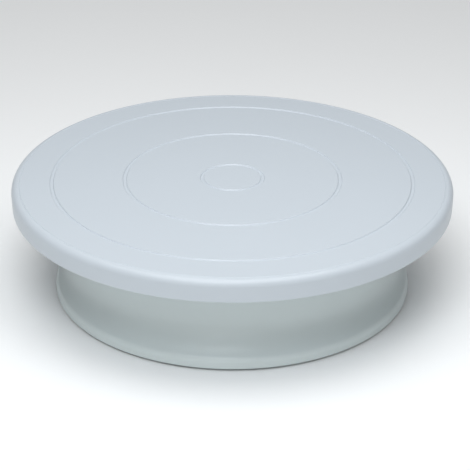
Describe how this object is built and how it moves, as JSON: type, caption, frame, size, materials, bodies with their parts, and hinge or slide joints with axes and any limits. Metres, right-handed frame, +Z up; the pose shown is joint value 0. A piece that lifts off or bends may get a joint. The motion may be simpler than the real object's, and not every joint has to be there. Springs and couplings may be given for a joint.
{
  "type": "cake turntable",
  "caption": "Round cake turntable: a flat plate with engraved guide rings and a rounded skirt, spinning on a caged ball race over a hollow base with a coved foot.",
  "frame": {"origin": "centre of the resting plane, under the rubber pads, on the plate's axis of rotation", "axes": "+Z up along the axis of rotation; the turntable is round, so +X and +Y are only fixed by the foot pads, one of which lies on +X"},
  "size_m": [0.28, 0.28, 0.075],
  "materials": {
    "plate_plastic": "cool white moulded polypropylene with a fine satin surface",
    "base_plastic": "slightly milky white moulded polypropylene, smooth satin",
    "bearing_plastic": "natural acetal and nylon, waxy",
    "race_steel": "pressed steel strip with a rolled track",
    "ball_steel": "hardened steel, polished",
    "zinc_steel": "turned and headed steel with bright zinc plating",
    "pad_rubber": "moulded grey rubber, matt"
  },
  "bodies": {
    "base": {"base_shell": "base_plastic", "lower_race": "race_steel", "hub_bush": "bearing_plastic", "slip_washer": "bearing_plastic", "foot_pad_01": "pad_rubber", "foot_pad_02": "pad_rubber", "foot_pad_03": "pad_rubber", "foot_pad_04": "pad_rubber", "foot_pad_05": "pad_rubber", "foot_pad_06": "pad_rubber"},
    "turntable": {"turntable_plate": "plate_plastic", "upper_race": "race_steel", "spindle": "zinc_steel", "retaining_washer": "zinc_steel", "retaining_screw": "zinc_steel"},
    "cage": {"ball_cage": "bearing_plastic"},
    "ball_01": {"bearing_ball_01": "ball_steel"},
    "ball_02": {"bearing_ball_02": "ball_steel"},
    "ball_03": {"bearing_ball_03": "ball_steel"},
    "ball_04": {"bearing_ball_04": "ball_steel"},
    "ball_05": {"bearing_ball_05": "ball_steel"},
    "ball_06": {"bearing_ball_06": "ball_steel"},
    "ball_07": {"bearing_ball_07": "ball_steel"},
    "ball_08": {"bearing_ball_08": "ball_steel"},
    "ball_09": {"bearing_ball_09": "ball_steel"},
    "ball_10": {"bearing_ball_10": "ball_steel"},
    "ball_11": {"bearing_ball_11": "ball_steel"},
    "ball_12": {"bearing_ball_12": "ball_steel"}
  },
  "joints": [
    {"name": "plate_spin", "type": "hinge", "parent": "base", "child": "turntable", "pos_m": [0, 0, 0.0655], "axis": [0, 0, 1], "continuous": true},
    {"name": "cage_spin", "type": "hinge", "parent": "base", "child": "cage", "pos_m": [0, 0, 0.0655], "axis": [0, 0, 1], "continuous": true},
    {"name": "ball_01_roll", "type": "hinge", "parent": "cage", "child": "ball_01", "pos_m": [0.05715, 0, 0.06538], "axis": [1, 0, 0], "continuous": true},
    {"name": "ball_02_roll", "type": "hinge", "parent": "cage", "child": "ball_02", "pos_m": [0.04949, 0.02857, 0.06538], "axis": [0.866, 0.5, 0], "continuous": true},
    {"name": "ball_03_roll", "type": "hinge", "parent": "cage", "child": "ball_03", "pos_m": [0.02857, 0.04949, 0.06538], "axis": [0.5, 0.866, 0], "continuous": true},
    {"name": "ball_04_roll", "type": "hinge", "parent": "cage", "child": "ball_04", "pos_m": [0, 0.05715, 0.06538], "axis": [0, 1, 0], "continuous": true},
    {"name": "ball_05_roll", "type": "hinge", "parent": "cage", "child": "ball_05", "pos_m": [-0.02857, 0.04949, 0.06538], "axis": [-0.5, 0.866, 0], "continuous": true},
    {"name": "ball_06_roll", "type": "hinge", "parent": "cage", "child": "ball_06", "pos_m": [-0.04949, 0.02857, 0.06538], "axis": [-0.866, 0.5, 0], "continuous": true},
    {"name": "ball_07_roll", "type": "hinge", "parent": "cage", "child": "ball_07", "pos_m": [-0.05715, 0, 0.06538], "axis": [-1, 0, 0], "continuous": true},
    {"name": "ball_08_roll", "type": "hinge", "parent": "cage", "child": "ball_08", "pos_m": [-0.04949, -0.02857, 0.06538], "axis": [-0.866, -0.5, 0], "continuous": true},
    {"name": "ball_09_roll", "type": "hinge", "parent": "cage", "child": "ball_09", "pos_m": [-0.02857, -0.04949, 0.06538], "axis": [-0.5, -0.866, 0], "continuous": true},
    {"name": "ball_10_roll", "type": "hinge", "parent": "cage", "child": "ball_10", "pos_m": [0, -0.05715, 0.06538], "axis": [0, -1, 0], "continuous": true},
    {"name": "ball_11_roll", "type": "hinge", "parent": "cage", "child": "ball_11", "pos_m": [0.02857, -0.04949, 0.06538], "axis": [0.5, -0.866, 0], "continuous": true},
    {"name": "ball_12_roll", "type": "hinge", "parent": "cage", "child": "ball_12", "pos_m": [0.04949, -0.02857, 0.06538], "axis": [0.866, -0.5, 0], "continuous": true}
  ],
  "couplings": [
    {"joint": "cage_spin", "follows": "plate_spin", "ratio": 0.5},
    {"joint": "ball_01_roll", "follows": "plate_spin", "ratio": -9},
    {"joint": "ball_02_roll", "follows": "plate_spin", "ratio": -9},
    {"joint": "ball_03_roll", "follows": "plate_spin", "ratio": -9},
    {"joint": "ball_04_roll", "follows": "plate_spin", "ratio": -9},
    {"joint": "ball_05_roll", "follows": "plate_spin", "ratio": -9},
    {"joint": "ball_06_roll", "follows": "plate_spin", "ratio": -9},
    {"joint": "ball_07_roll", "follows": "plate_spin", "ratio": -9},
    {"joint": "ball_08_roll", "follows": "plate_spin", "ratio": -9},
    {"joint": "ball_09_roll", "follows": "plate_spin", "ratio": -9},
    {"joint": "ball_10_roll", "follows": "plate_spin", "ratio": -9},
    {"joint": "ball_11_roll", "follows": "plate_spin", "ratio": -9},
    {"joint": "ball_12_roll", "follows": "plate_spin", "ratio": -9}
  ]
}
